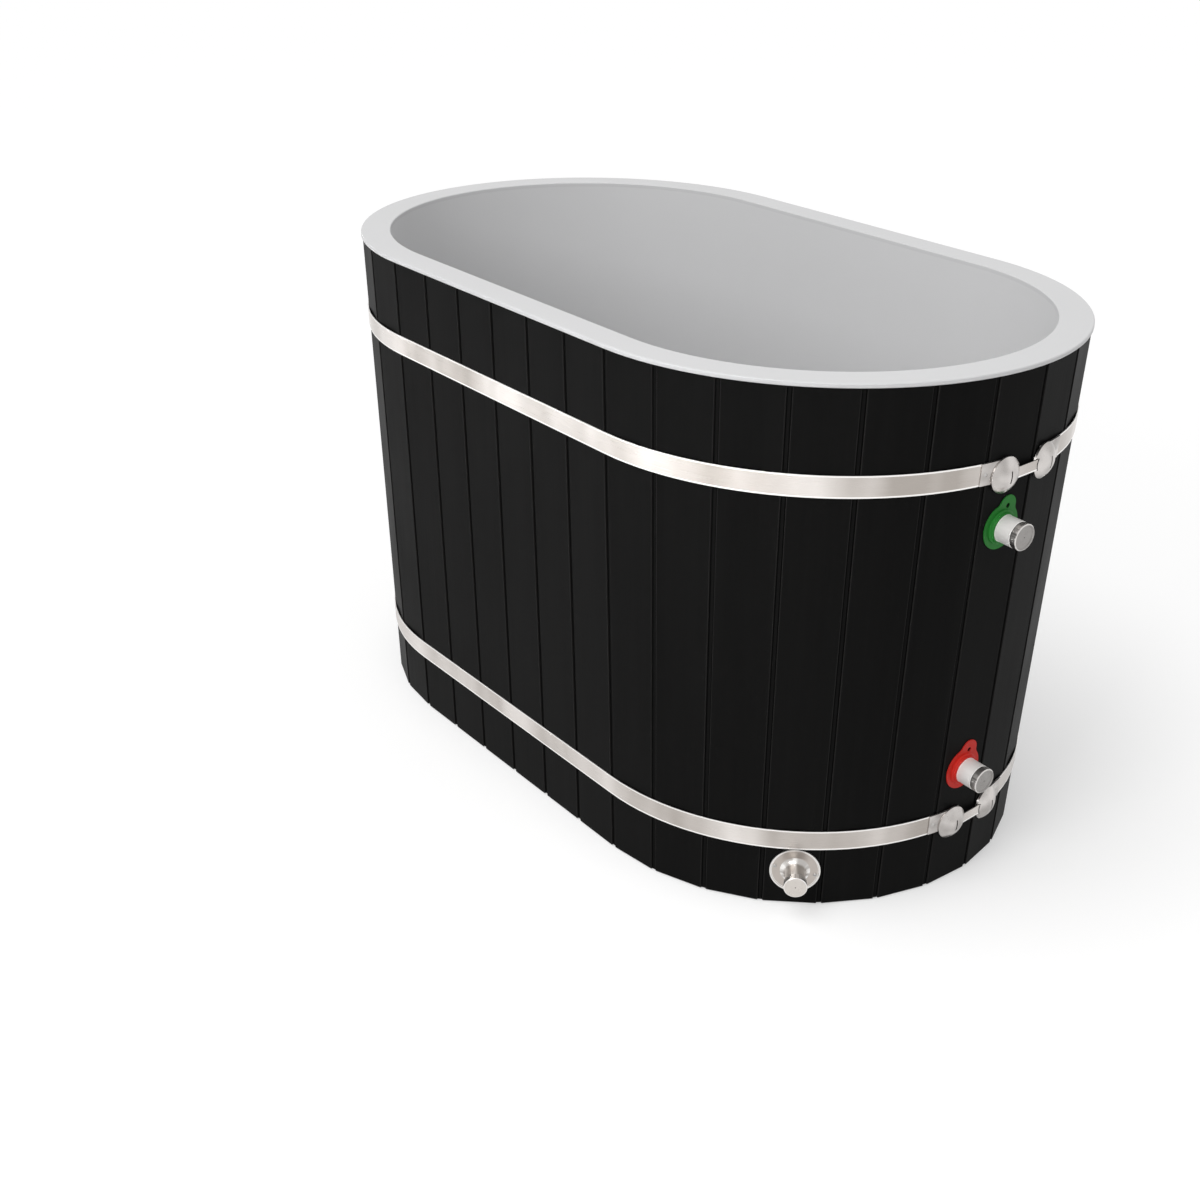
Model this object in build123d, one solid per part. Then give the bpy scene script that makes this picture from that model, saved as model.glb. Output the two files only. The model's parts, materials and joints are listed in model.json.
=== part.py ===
from build123d import *
import os
from math import asin, atan, cos, degrees, radians, sin, sqrt, tan

# Oval barrel cold plunge tub, millimetres.
# Origin on the ground at the middle of the oval, +X towards the pipe connections, +Z up.

# Overall plan and height
tub_height = 1000.0
half_straight = 336.4        # half the straight part of the oval
corner_radius_floor = 442.4  # seam circle of the boards at the ground, about each end's centre
wall_lean = 36.1             # how far the boards lean out from the ground to the rim's height

# Boards
side_boards = 6              # on each straight side
end_boards = 13              # round each end
board_thickness = 20.0
board_bottom = 2.0
channel_width = 9.0          # shadow channel between two boards
channel_depth = 3.4
board_edge = 0.8             # bevel along both edges of a board's face
tongue_thickness = 5.0
tongue_length = 6.0
tongue_depth = 8.5           # from the seam's corner to the tongue
joint_gap = 0.15

# Inner tub
rim_outer_radius = 480.5
rim_width = 60.0
rim_thickness = 8.0
rim_edge = 1.5
liner_wall = 5.0
liner_floor = 5.0
floor_fillet = 10.0
fillet_cut = 0.3             # the fillet's middle as a share of its radius

# Floor
bearer_height = 18.0
bearer_width = 70.0
bearer_spacing = 380.0
bearer_clearance = 12.0      # from a bearer's corners to the boards
panel_thickness = 15.0
panel_radius = 427.0
croze_clearance = 0.3
bearer_screw_radius = 2.0
bearer_screw_length = 28.0
bearer_screw_offset = 330.0
screw_head_radius = 4.0
screw_head_height = 2.4

# Foam blanket
foam_clearance = 0.4

# Hoops
hoop_height = 39.0
hoop_thickness = 1.5
hoop_clearance = 0.15
upper_hoop_level = 826.5
lower_hoop_level = 141.5
near_lug_angle = -1.9        # round the right end, degrees from +X
far_lug_angle = 10.9
lug_drop = 9.0               # lug's centre below the middle of the band
hoop_end_reach = 16.0        # how far a hoop's end runs past the lug's centre

# Lugs, straps, pins and rivets
lug_radius = 32.0
lug_base = 3.0
lug_skirt = 1.6              # base below the band's crown, shaped to the band
dome_height = 14.0
dome_slot_width = 2.6
dome_slot_height = 22.0
lug_seat_gap = 0.05
tail_length = 54.0
tail_thickness = 1.5
pin_radius = 2.5
pin_length = 38.0
pin_height = 5.0             # pin's axis above the lug's base disc
pin_clearance = 0.1
eye_radius = 4.5
strap_height = 20.0
strap_thickness = 2.0
slot_clearance = 0.8
rivet_radius = 2.5
rivet_head_radius = 4.0
rivet_head_height = 2.0
rivet_place = 44.0           # from the lug's centre along its tail

# Pipe connections
upper_level = 719.0
lower_level = 241.0
stub_radius = 24.15          # plain end for a hose
stub_thread_radius = 24.45   # from the inner flange to the lock ring
stub_bore = 21.35
stub_reach = 41.0
stub_edge = 0.6
hole_clearance = 0.6
hole_overrun = 10.0          # how far a drilled hole's cutter runs past the wall
inner_flange_radius = 36.0
inner_flange_thickness = 4.0
inner_flange_edge = 1.0
gasket_radius = 34.0
gasket_seat = 3.6            # flat flange to the curved wall, at the hole
tag_radius = 40.5
tag_lobe_radius = 19.0
tag_lobe_distance = 37.5
tag_fillet = 14.0            # where the lobe runs into the round tag
tag_hole_radius = 4.5
tag_hole_distance = 37.5
tag_thickness = 2.0
tag_turn = -16.0
lock_ring_radius = 31.0
lock_ring_height = 8.0
lock_ring_rim = 2.2
lock_ring_edge = 0.8
lock_ring_hub_wall = 2.6
lock_ring_hub_foot = 4.2
ring_clearance = 0.2
plug_clearance = 0.3
plug_spigot = 12.0
plug_collar = 11.4
plug_collar_radius = 24.0
plug_face_radius = 22.6
plug_edge = 1.6
plug_recess_radius = 19.5
plug_recess_slope = 0.8
plug_recess = 1.2
plug_wall = 4.0
seal_thickness = 1.3
seal_gap = 0.15
seal_inset = 0.6
strainer_thickness = 2.0
strainer_gap = 0.1
strainer_hole = 3.4
strainer_edge = 2.0
strainer_count = 6

# Drain
drain_board = 3              # counted round the end from the near straight side
drain_level = 76.0
drain_shift = 6.0            # along the board from its centre line
drain_flange_radius = 45.5
drain_flange_thickness = 2.5
drain_rim_width = 3.4
drain_rim_slope = 1.0
drain_rim_height = 1.5
drain_gasket_thickness = 1.5
drain_gasket_inset = 1.5
flare_radius = 30.0
flare_height = 9.5
flare_bulge = 0.3            # how far the flare's middle lies towards the neck and the flange
neck_radius = 18.3
neck_reach = 40.0
outlet_radius = 16.6
outlet_bore = 13.6
outlet_reach = 51.0
cap_radius = 21.0
cap_start = 41.5
cap_reach = 55.0
cap_wall_gap = 0.3
cap_top = 2.7
cap_edge = 0.8
lock_nut_radius = 27.5
lock_nut_height = 8.0
drain_gasket_radius = 26.0
drain_gasket_seat = 2.9
drain_screw_circle = 37.0
drain_screw_angles = (168.0, -12.0)
drain_screw_radius = 2.0
drain_screw_length = 14.0
drain_head_radius = 3.6
drain_head_height = 1.6
drain_head_edge = 0.7
drain_screw_clearance = 0.2

# Worked out from the sizes above
end_step = 180.0 / end_boards
half_step = radians(end_step / 2)
side_width = 2 * half_straight / side_boards
board_top = tub_height - rim_thickness
liner_lean = wall_lean / tub_height
liner_radius_floor = rim_outer_radius - rim_width - wall_lean
floor_top = bearer_height + panel_thickness + liner_floor
tilt = degrees(atan(liner_lean * cos(half_step)))
hoop_tilt = degrees(atan(liner_lean))
cut_overrun = 1.0


def corner_radius(z):
    """Distance from an end's centre to the seams at height z."""
    return corner_radius_floor + liner_lean * z


def face_distance(z):
    """Distance from an end's centre to a board's flat face at height z."""
    return corner_radius(z) * cos(half_step)


def liner_radius(z):
    """Inside radius of the inner tub at height z."""
    return liner_radius_floor + liner_lean * z


# Plan shapes


def oval_solid(profile):
    """Turns a half profile (r, z) round both ends and runs it along the straight sides."""
    face = make_face(profile)
    end = revolve(face, Axis.Z, 180).rotate(Axis.Z, -90)
    right = Pos(half_straight, 0, 0) * end
    left = right.rotate(Axis.Z, 180)
    near = extrude(Pos(-half_straight, 0, 0) * face.rotate(Axis.Z, -90), 2 * half_straight, dir=(1, 0, 0))
    far = near.rotate(Axis.Z, 180)
    return right + left + near + far


def oval_plate(radius, bottom, thickness):
    plan = SlotCenterToCenter(2 * half_straight, 2 * radius)
    return extrude(Pos(0, 0, bottom) * plan, thickness)


# Staves with tongue, groove, shadow channel and a groove for the floor panel


def seam_point(corner, outward, along, across, depth):
    return corner + along * across - outward * depth


def stave_section(z, left, right, slope):
    """Closed outline of one board at height z between two seams.

    Each seam is (corner, outward, along); slope is the face's angle against the seam's tangent.
    """
    rise = tan(slope)
    back = board_thickness / cos(slope)
    start = channel_width / 2 + joint_gap
    end = channel_width / 2 - joint_gap
    groove_top = tongue_depth - joint_gap
    groove_bottom = tongue_depth + tongue_thickness + joint_gap
    groove_end = start + tongue_length + joint_gap
    left_side = [
        (start, back + start * rise),
        (start, groove_bottom),
        (groove_end, groove_bottom),
        (groove_end, groove_top),
        (start, groove_top),
        (start, start * rise + board_edge),
        (start + board_edge, (start + board_edge) * rise),
    ]
    right_start = channel_width / 2
    right_side = [
        (-right_start - board_edge, (right_start + board_edge) * rise),
        (-right_start, right_start * rise + board_edge),
        (-right_start, channel_depth),
        (end, channel_depth),
        (end, tongue_depth),
        (end + tongue_length, tongue_depth),
        (end + tongue_length, tongue_depth + tongue_thickness),
        (end, tongue_depth + tongue_thickness),
        (end, back - end * rise),
    ]
    points = [seam_point(*left, across, depth) for across, depth in left_side]
    points += [seam_point(*right, across, depth) for across, depth in right_side]
    return make_face(Polyline(*[Vector(p.X, p.Y, z) for p in points], close=True))


def end_seam(z, index):
    """Seam number index round the right end, from the near side."""
    angle = radians(index * end_step - 90)
    outward = Vector(cos(angle), sin(angle), 0)
    along = Vector(-sin(angle), cos(angle), 0)
    return Vector(half_straight, 0, 0) + outward * corner_radius(z), outward, along


def side_seam(z, index):
    """Seam number index along the near side, from the left."""
    corner = Vector(index * side_width - half_straight, -corner_radius(z), 0)
    return corner, Vector(0, -1, 0), Vector(1, 0, 0)


def stave(seam, index, slope):
    bottom, top = [
        stave_section(z, seam(z, index), seam(z, index + 1), slope) for z in (board_bottom, board_top)
    ]
    board = loft([bottom, top], ruled=True)
    croze_bottom = bearer_height - croze_clearance
    croze = oval_plate(panel_radius + croze_clearance, croze_bottom, panel_thickness + 2 * croze_clearance)
    return board - croze


def around_right_end(board, index):
    turn = Pos(half_straight, 0, 0) * Rot(0, 0, index * end_step) * Pos(-half_straight, 0, 0)
    return turn * board


# Hoops


def end_normal(index):
    """Outward direction of the right end's board number index."""
    angle = radians((index + 0.5) * end_step - 90)
    return Vector(cos(angle), sin(angle), 0)


def hoop_place(angle, z):
    """Place on the seam circle at the right end, with x round the tub, y up the wall and z out of it."""
    turn = radians(angle)
    outward = Vector(cos(turn), sin(turn), 0)
    lean = radians(hoop_tilt)
    out = outward * cos(lean) - Vector(0, 0, sin(lean))
    origin = Vector(half_straight, 0, z) + outward * corner_radius(z)
    return Location(Plane(origin, x_dir=Vector(-sin(turn), cos(turn), 0), z_dir=out))


def band_section(start, offset, thickness):
    """Upright rectangle across the band at a place on the seam circle."""
    place = start * Pos(0, 0, offset + thickness / 2)
    across = Plane(place.position, x_dir=place.z_axis.direction, z_dir=place.x_axis.direction)
    return across * Rectangle(thickness, hoop_height), place.position.Z


def arc_angle(length, level):
    """Angle round the end, in degrees, of a length along the band."""
    return degrees(length / corner_radius(level))


def hoop(level):
    """Flat band from the far lug, round the back and the left end, to the near lug."""
    reach = arc_angle(hoop_end_reach, level)
    start = far_lug_angle - reach
    finish = near_lug_angle + reach
    section, height = band_section(hoop_place(start, level), hoop_clearance, hoop_thickness)
    radius = corner_radius(level) + (hoop_clearance + hoop_thickness / 2) * cos(radians(hoop_tilt))
    path = Wire([
        CenterArc((half_straight, 0), radius, start, 90 - start),
        Line((half_straight, radius), (-half_straight, radius)),
        CenterArc((-half_straight, 0), radius, 90, 180),
        Line((-half_straight, -radius), (half_straight, -radius)),
        CenterArc((half_straight, 0), radius, -90, 90 + finish),
    ])
    return sweep(section, path=Pos(0, 0, height) * path)


# Places on the boards. Local x runs round the tub, y up the board and z straight out of it.


def face_place(index, z, along):
    normal = end_normal(index)
    tangent = Vector(-normal.Y, normal.X, 0)
    lean = radians(tilt)
    out = normal * cos(lean) - Vector(0, 0, sin(lean))
    origin = Vector(half_straight, 0, z) + normal * face_distance(z) + tangent * along
    return Location(Plane(origin, x_dir=tangent, z_dir=out))


def turned(points):
    """Solid of revolution about local z from its (r, z) outline."""
    return revolve(Plane.XZ * make_face(Polyline(*points, close=True)), Axis.Z, 360)


def rod(radius, bottom, top):
    return Pos(0, 0, bottom) * Cylinder(radius, top - bottom, align=(Align.CENTER, Align.CENTER, Align.MIN))


def tube(outer, inner, bottom, top):
    return rod(outer, bottom, top) - rod(inner, bottom - cut_overrun, top + cut_overrun)


# Lugs and tie straps


band_face = hoop_clearance + hoop_thickness + lug_seat_gap
pin_level = band_face + lug_base + pin_height


def lug(angle, level, side, dip):
    """Domed lug whose curved tail lies on the band.

    side is +1 where the strap leaves towards local +x, and dip is the strap's angle into the wall.
    """
    base_top = band_face + lug_base
    top = base_top + dome_height
    under = band_face - lug_skirt
    base = Polyline((0, top), (0, under), (lug_radius, under), (lug_radius, base_top))
    sphere = (lug_radius ** 2 + dome_height ** 2) / (2 * dome_height)
    middle = lug_radius / 2
    crown = top - sphere + sqrt(sphere ** 2 - middle ** 2)
    dome = ThreePointArc((lug_radius, base_top), (middle, crown), (0, top))
    body = revolve(Plane.XZ * make_face([*base.edges(), dome]), Axis.Z, 360)
    body = lug_place(angle, level) * (body - strap_tunnel(side, dip) - pin_bore())
    return body - band_envelope(level) + lug_tail(angle, level, side)


def lug_place(angle, level):
    return hoop_place(angle, level) * Pos(0, -lug_drop, 0)


def band_envelope(level):
    """Everything inside the band's outer face at the right end."""
    low, high = level - 2 * lug_radius, level + 2 * lug_radius
    outside = band_face / cos(radians(hoop_tilt))
    cone = Cone(corner_radius(low) + outside, corner_radius(high) + outside, high - low)
    return Pos(half_straight, 0, level) * cone


def lug_tail(angle, level, side):
    sweep_angle = -side * arc_angle(tail_length, level)
    section, height = band_section(hoop_place(angle, level), band_face, tail_thickness)
    radius = corner_radius(level) + (band_face + tail_thickness / 2) * cos(radians(hoop_tilt))
    path = Pos(0, 0, height) * Wire([CenterArc((half_straight, 0), radius, angle, sweep_angle)])
    return sweep(section, path=path) - rivet_hole(angle, level, side) - tunnel_in_place(angle, level, side)


def tunnel_in_place(angle, level, side):
    """Room that the tail leaves for the rolled eye."""
    eye_room = eye_radius + slot_clearance
    height = strap_height + 2 * slot_clearance
    return lug_place(angle, level) * Pos(0, 0, pin_level) * Box(2 * eye_room, height, 2 * eye_room)


def strap_tunnel(side, dip):
    """Pocket for the rolled eye, the strap's way out, which follows its dip, and the slot in the dome."""
    height = strap_height + 2 * slot_clearance
    eye_room = eye_radius + slot_clearance
    strap_room = strap_thickness / 2 + slot_clearance
    pocket = Box(2 * eye_room, height, 2 * eye_room)
    channel = Pos(side * lug_radius, 0, 0) * Box(2 * lug_radius, height, 2 * strap_room)
    slot = Pos(0, 0, dome_height / 2) * Box(dome_slot_width, dome_slot_height, dome_height)
    return Pos(0, 0, pin_level) * (Rot(0, side * dip, 0) * (pocket + channel) + slot)


def pin_bore():
    """Hole for the pin, open at the lug's lower side."""
    length = pin_length / 2 + lug_radius
    middle = (pin_length / 2 - lug_radius) / 2
    return Pos(0, middle, pin_level) * Rot(90, 0, 0) * Cylinder(pin_radius + pin_clearance, length)


def rivet_seat(angle, level, side):
    return hoop_place(angle - side * arc_angle(rivet_place, level), level)


def rivet_hole(angle, level, side):
    hole = rod(rivet_radius, -cut_overrun, tail_thickness + band_face + cut_overrun)
    return rivet_seat(angle, level, side) * hole


def lug_pin():
    return Pos(0, 0, pin_level) * Rot(90, 0, 0) * Cylinder(pin_radius, pin_length - 2 * pin_clearance)


def rivet(angle, level, side):
    head = band_face + tail_thickness
    outline = [
        (0, hoop_clearance),
        (rivet_radius, hoop_clearance),
        (rivet_radius, head),
        (rivet_head_radius, head),
        (0, head + rivet_head_height),
    ]
    return rivet_seat(angle, level, side) * turned(outline)


def strap_ends(near, far):
    return (near * Pos(0, 0, pin_level)).position, (far * Pos(0, 0, pin_level)).position


def strap_dips(near, far):
    """Angles at which the strap runs into the wall at the two lugs, in degrees."""
    a, b = strap_ends(near, far)
    along = (b - a).normalized()
    near_dip = degrees(asin(-along.dot(near.z_axis.direction)))
    far_dip = degrees(asin(along.dot(far.z_axis.direction)))
    return near_dip, far_dip


def tie_strap(near, far):
    """Flat strap with a rolled eye round each pin."""
    a, b = strap_ends(near, far)
    along = (b - a).normalized()
    up = (near.y_axis.direction + far.y_axis.direction).normalized()
    length = (b - a).length
    bar = Pos(length / 2, 0) * Rectangle(length, strap_thickness)
    eyes = Circle(eye_radius) + Pos(length, 0) * Circle(eye_radius)
    hole = Circle(pin_radius + 2 * pin_clearance)
    plan = bar + eyes - hole - Pos(length, 0) * hole
    flat = Plane(a, x_dir=along, z_dir=(up - along * up.dot(along)).normalized())
    return extrude(flat * plan, strap_height / 2, both=True)


# Wall thickness at a fitting, from the board's face to the inner tub's inside


def wall_depth(z):
    return (face_distance(z) - liner_radius(z)) * cos(radians(tilt))


lock_ring_top = seal_gap + tag_thickness + lock_ring_height


def stub(z):
    seat = -wall_depth(z) - gasket_seat
    inner = seat - inner_flange_thickness
    return turned([
        (stub_bore, inner),
        (inner_flange_radius - inner_flange_edge, inner),
        (inner_flange_radius, inner + inner_flange_edge),
        (inner_flange_radius, seat),
        (stub_thread_radius, seat),
        (stub_thread_radius, lock_ring_top),
        (stub_radius, lock_ring_top + stub_thread_radius - stub_radius),
        (stub_radius, stub_reach - stub_edge),
        (stub_radius - stub_edge, stub_reach),
        (stub_bore, stub_reach),
    ])


def stub_strainer(z):
    inner = -wall_depth(z) - gasket_seat - inner_flange_thickness
    return strainer(stub_bore - strainer_gap, inner)


def strainer(radius, bottom):
    """Round grille with six-sided holes, one in the middle and a ring about it."""
    hole = RegularPolygon(strainer_hole, 6)
    plan = Circle(radius) - hole
    plan -= PolarLocations(radius - strainer_edge - strainer_hole, strainer_count) * hole
    return extrude(Pos(0, 0, bottom) * plan, strainer_thickness)


def tag():
    lobe = Pos(0, tag_lobe_distance) * Circle(tag_lobe_radius)
    plate = extrude(Circle(tag_radius) + lobe, tag_thickness)
    plate = fillet(plate.edges().filter_by(Axis.Z), tag_fillet)
    plate -= rod(stub_thread_radius + hole_clearance, -cut_overrun, tag_thickness + cut_overrun)
    hole = rod(tag_hole_radius, -cut_overrun, tag_thickness + cut_overrun)
    plate -= Pos(0, tag_hole_distance, 0) * hole
    return Rot(0, 0, tag_turn) * Pos(0, 0, seal_gap) * plate


def lock_ring():
    bottom = seal_gap + tag_thickness
    bore = stub_thread_radius + ring_clearance
    rim_top = bottom + lock_ring_rim
    return turned([
        (bore, bottom),
        (lock_ring_radius, bottom),
        (lock_ring_radius, rim_top),
        (lock_ring_radius - lock_ring_edge, rim_top + lock_ring_edge),
        (bore + lock_ring_hub_wall + lock_ring_edge, bottom + lock_ring_hub_foot),
        (bore + lock_ring_hub_wall, lock_ring_top),
        (bore, lock_ring_top),
    ])


collar_start = stub_reach + seal_thickness + 2 * seal_gap
plug_end = collar_start + plug_collar


def plug():
    spigot = stub_bore - plug_clearance
    return turned([
        (spigot - plug_wall, stub_reach - plug_spigot),
        (spigot, stub_reach - plug_spigot),
        (spigot, collar_start),
        (plug_collar_radius, collar_start),
        (plug_collar_radius, plug_end - plug_edge),
        (plug_face_radius, plug_end),
        (plug_recess_radius + plug_recess_slope, plug_end),
        (plug_recess_radius, plug_end - plug_recess),
        (0, plug_end - plug_recess),
        (0, plug_end - plug_recess - plug_wall),
        (spigot - plug_wall, plug_end - plug_recess - plug_wall),
    ])


def plug_seal():
    bottom = stub_reach + seal_gap
    return tube(stub_radius - seal_inset, stub_bore, bottom, bottom + seal_thickness)


# Drain


def drain_body(z):
    inner = -wall_depth(z) - drain_gasket_seat - lock_nut_height
    bottom = drain_gasket_thickness
    face = bottom + drain_flange_thickness
    flare_top = face + flare_height
    low = [
        Line((outlet_bore, inner), (outlet_radius, inner)),
        Line((outlet_radius, inner), (outlet_radius, bottom)),
        Line((outlet_radius, bottom), (drain_flange_radius, bottom)),
        Line((drain_flange_radius, bottom), (drain_flange_radius, face + drain_rim_height)),
    ]
    rim_inside = drain_flange_radius - drain_rim_width
    rim_crest = rim_inside + drain_rim_slope
    rim = [
        Line((drain_flange_radius, face + drain_rim_height), (rim_crest, face + drain_rim_height)),
        Line((rim_crest, face + drain_rim_height), (rim_inside, face)),
        Line((rim_inside, face), (flare_radius, face)),
    ]
    span = flare_radius - neck_radius
    flare = ThreePointArc(
        (flare_radius, face),
        (neck_radius + span * flare_bulge, face + flare_height * flare_bulge),
        (neck_radius, flare_top),
    )
    high = [
        Line((neck_radius, flare_top), (neck_radius, neck_reach)),
        Line((neck_radius, neck_reach), (outlet_radius, neck_reach)),
        Line((outlet_radius, neck_reach), (outlet_radius, outlet_reach)),
        Line((outlet_radius, outlet_reach), (outlet_bore, outlet_reach)),
        Line((outlet_bore, outlet_reach), (outlet_bore, inner)),
    ]
    return revolve(Plane.XZ * make_face([*low, *rim, flare, *high]), Axis.Z, 360) - drain_screw_cutter()


def drain_screw_places():
    return [Rot(0, 0, angle) * Pos(drain_screw_circle, 0, 0) for angle in drain_screw_angles]


def drain_screw_cutter():
    radius = drain_screw_radius + drain_screw_clearance
    deep = board_thickness + foam_clearance
    return Compound([place * rod(radius, -deep, hole_overrun) for place in drain_screw_places()])


def drain_screws():
    face = drain_gasket_thickness + drain_flange_thickness
    outline = [
        (0, face - drain_screw_length),
        (drain_screw_radius, face - drain_screw_length),
        (drain_screw_radius, face),
        (drain_head_radius, face),
        (drain_head_radius, face + drain_head_height - drain_head_edge),
        (drain_head_radius - drain_head_edge, face + drain_head_height),
        (0, face + drain_head_height),
    ]
    return [place * turned(outline) for place in drain_screw_places()]


def drain_outer_gasket():
    outer = drain_flange_radius - drain_gasket_inset
    return tube(outer, outlet_radius + ring_clearance, 0, drain_gasket_thickness) - drain_screw_cutter()


def drain_lock_nut(z):
    top = -wall_depth(z) - drain_gasket_seat
    hexagon = RegularPolygon(lock_nut_radius, 6) - Circle(outlet_radius + ring_clearance)
    return extrude(Pos(0, 0, top - lock_nut_height) * hexagon, lock_nut_height)


def drain_cap():
    inside = outlet_radius + cap_wall_gap
    under = cap_reach - cap_top
    return turned([
        (inside, cap_start),
        (cap_radius - cap_edge / 2, cap_start),
        (cap_radius, cap_start + cap_edge / 2),
        (cap_radius, cap_reach - cap_edge),
        (cap_radius - cap_edge, cap_reach),
        (0, cap_reach),
        (0, under),
        (inside, under),
    ])


def drain_cap_seal():
    bottom = outlet_reach + seal_gap
    return tube(outlet_radius - seal_gap, outlet_bore, bottom, cap_reach - cap_top - seal_gap)


# Inner tub, foam and floor


def inner_tub():
    bottom = bearer_height + panel_thickness
    inner_rim = liner_radius(tub_height)
    outer = liner_wall
    fillet_out = floor_fillet + liner_wall
    points = [
        (0, bottom),
        (liner_radius(bottom) + outer - fillet_out * (1 - fillet_cut), bottom),
        (liner_radius(bottom) + outer, bottom + fillet_out * (1 - fillet_cut)),
        (liner_radius(board_top) + outer, board_top),
        (rim_outer_radius - rim_edge, board_top),
        (rim_outer_radius, board_top + rim_edge),
        (rim_outer_radius, tub_height - rim_edge),
        (rim_outer_radius - rim_edge, tub_height),
        (inner_rim + rim_edge, tub_height),
        (inner_rim, tub_height - rim_edge),
        (liner_radius(floor_top + floor_fillet), floor_top + floor_fillet),
        (liner_radius(floor_top) - floor_fillet * fillet_cut, floor_top + floor_fillet * fillet_cut),
        (liner_radius(floor_top) - floor_fillet, floor_top),
        (0, floor_top),
    ]
    return oval_solid(Plane.XZ * Polyline(*points, close=True))


def water_space():
    """Clear space inside the tub, used to shape the saddle gaskets."""
    points = [
        (0, floor_top),
        (liner_radius(floor_top), floor_top),
        (liner_radius(tub_height), tub_height),
        (0, tub_height),
    ]
    return oval_solid(Plane.XZ * Polyline(*points, close=True))


def meeting_point(first, second):
    """Where two upright faces meet in plan; each is (normal, distance from the origin)."""
    (n1, d1), (n2, d2) = first, second
    det = n1.X * n2.Y - n1.Y * n2.X
    return Vector((d1 * n2.Y - d2 * n1.Y) / det, (n1.X * d2 - n2.X * d1) / det, 0)


def board_polygon(distance, z):
    """Plan outline of the staved shell whose flat faces lie at this distance, at height z."""
    faces = [(Vector(0, -1, 0), distance)]
    for index in range(end_boards):
        normal = end_normal(index)
        faces.append((normal, distance + half_straight * normal.X))
    faces.append((Vector(0, 1, 0), distance))
    right = [meeting_point(a, b) for a, b in zip(faces, faces[1:])]
    corners = right + [Vector(-p.X, -p.Y, 0) for p in right]
    return make_face(Polyline(*[Vector(p.X, p.Y, z) for p in corners], close=True))


def insulation_jacket():
    """Foam slabs that lie flat behind the boards."""
    bottom = bearer_height + panel_thickness + foam_clearance
    top = board_top - foam_clearance
    inside = liner_wall + foam_clearance
    outside = board_thickness + foam_clearance
    outer = loft([board_polygon(face_distance(z) - outside, z) for z in (bottom, top)], ruled=True)
    inner = loft([board_polygon(liner_radius(z) + inside, z) for z in (bottom, top)], ruled=True)
    return outer - inner


def bearer_half_length(x):
    """Half of a bearer's length, so that its corners stay clear of the boards."""
    room = face_distance(board_bottom) - board_thickness - bearer_clearance
    past_centre = max(0, abs(x) + bearer_width / 2 - half_straight)
    return sqrt(room ** 2 - past_centre ** 2)


def bearer_screw_places():
    rows = [-bearer_spacing, 0, bearer_spacing]
    return [Pos(x, y, 0) for x in rows for y in (-bearer_screw_offset, bearer_screw_offset)]


def bearer_screw():
    top = bearer_height + panel_thickness
    return turned([
        (0, top - bearer_screw_length),
        (bearer_screw_radius, top - bearer_screw_length),
        (bearer_screw_radius, top - screw_head_height),
        (screw_head_radius, top),
        (0, top),
    ])


def bearer_screw_holes(radius):
    top = bearer_height + panel_thickness
    return Compound([place * rod(radius, top - bearer_screw_length, top) for place in bearer_screw_places()])


# Assembly


def place_of_connection(z):
    return face_place(end_boards // 2, z, 0)


upper_place = place_of_connection(upper_level)
lower_place = place_of_connection(lower_level)
drain_place = face_place(drain_board, drain_level, drain_shift)


def through_hole(place, radius, z):
    return place * rod(radius + hole_clearance, -wall_depth(z) - hole_overrun, hole_overrun)


def shell_holes():
    return [
        through_hole(upper_place, stub_thread_radius, upper_level),
        through_hole(lower_place, stub_thread_radius, lower_level),
        through_hole(drain_place, outlet_radius, drain_level),
        drain_place * drain_screw_cutter(),
    ]


def without(solid, cutters):
    for cutter in cutters:
        solid -= cutter
    return solid


def shell_nodes():
    holes = shell_holes()
    end_stave = stave(end_seam, 0, half_step)
    side_stave = stave(side_seam, 0, 0)
    right = [around_right_end(end_stave, index) for index in range(end_boards)]
    near = [Pos(index * side_width, 0, 0) * side_stave for index in range(side_boards)]
    half_turn = Rot(0, 0, 180)
    connection = end_boards // 2
    plain = [board for index, board in enumerate(right) if index not in (connection, drain_board)]
    nodes = {
        "inner_tub": without(inner_tub(), holes[:3]),
        "insulation_jacket": without(insulation_jacket(), holes[:3]),
        "connection_stave": without(right[connection], holes[:2]),
        "drain_stave": without(right[drain_board], holes[2:]),
        "right_end_staves": plain,
        "left_end_staves": [half_turn * board for board in right],
    }
    for index, board in enumerate(near, start=1):
        nodes[f"front_stave_{index}"] = board
        nodes[f"back_stave_{index}"] = half_turn * board
    return nodes


def floor_nodes():
    panel = oval_plate(panel_radius, bearer_height, panel_thickness) - bearer_screw_holes(screw_head_radius)
    nodes = {"floor_panel": panel}
    for index, x in enumerate((-bearer_spacing, 0, bearer_spacing), start=1):
        length = 2 * bearer_half_length(bearer_spacing)
        bearer = Pos(x, 0, bearer_height / 2) * Box(bearer_width, length, bearer_height)
        nodes[f"floor_bearer_{index}"] = bearer - bearer_screw_holes(bearer_screw_radius)
    nodes["bearer_screws"] = [place * bearer_screw() for place in bearer_screw_places()]
    return nodes


def hoop_nodes():
    nodes = {}
    pins = []
    heads = []
    for name, level in (("upper", upper_hoop_level), ("lower", lower_hoop_level)):
        near = lug_place(near_lug_angle, level)
        far = lug_place(far_lug_angle, level)
        dips = strap_dips(near, far)
        band = hoop(level)
        for angle, side in ((near_lug_angle, 1), (far_lug_angle, -1)):
            band -= rivet_hole(angle, level, side)
            pins.append(lug_place(angle, level) * lug_pin())
            heads.append(rivet(angle, level, side))
        nodes[f"{name}_hoop"] = band
        nodes[f"{name}_near_lug"] = lug(near_lug_angle, level, 1, dips[0])
        nodes[f"{name}_far_lug"] = lug(far_lug_angle, level, -1, dips[1])
        nodes[f"{name}_tie_strap"] = tie_strap(near, far)
    nodes["lug_pins"] = pins
    nodes["lug_rivets"] = heads
    return nodes


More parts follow.
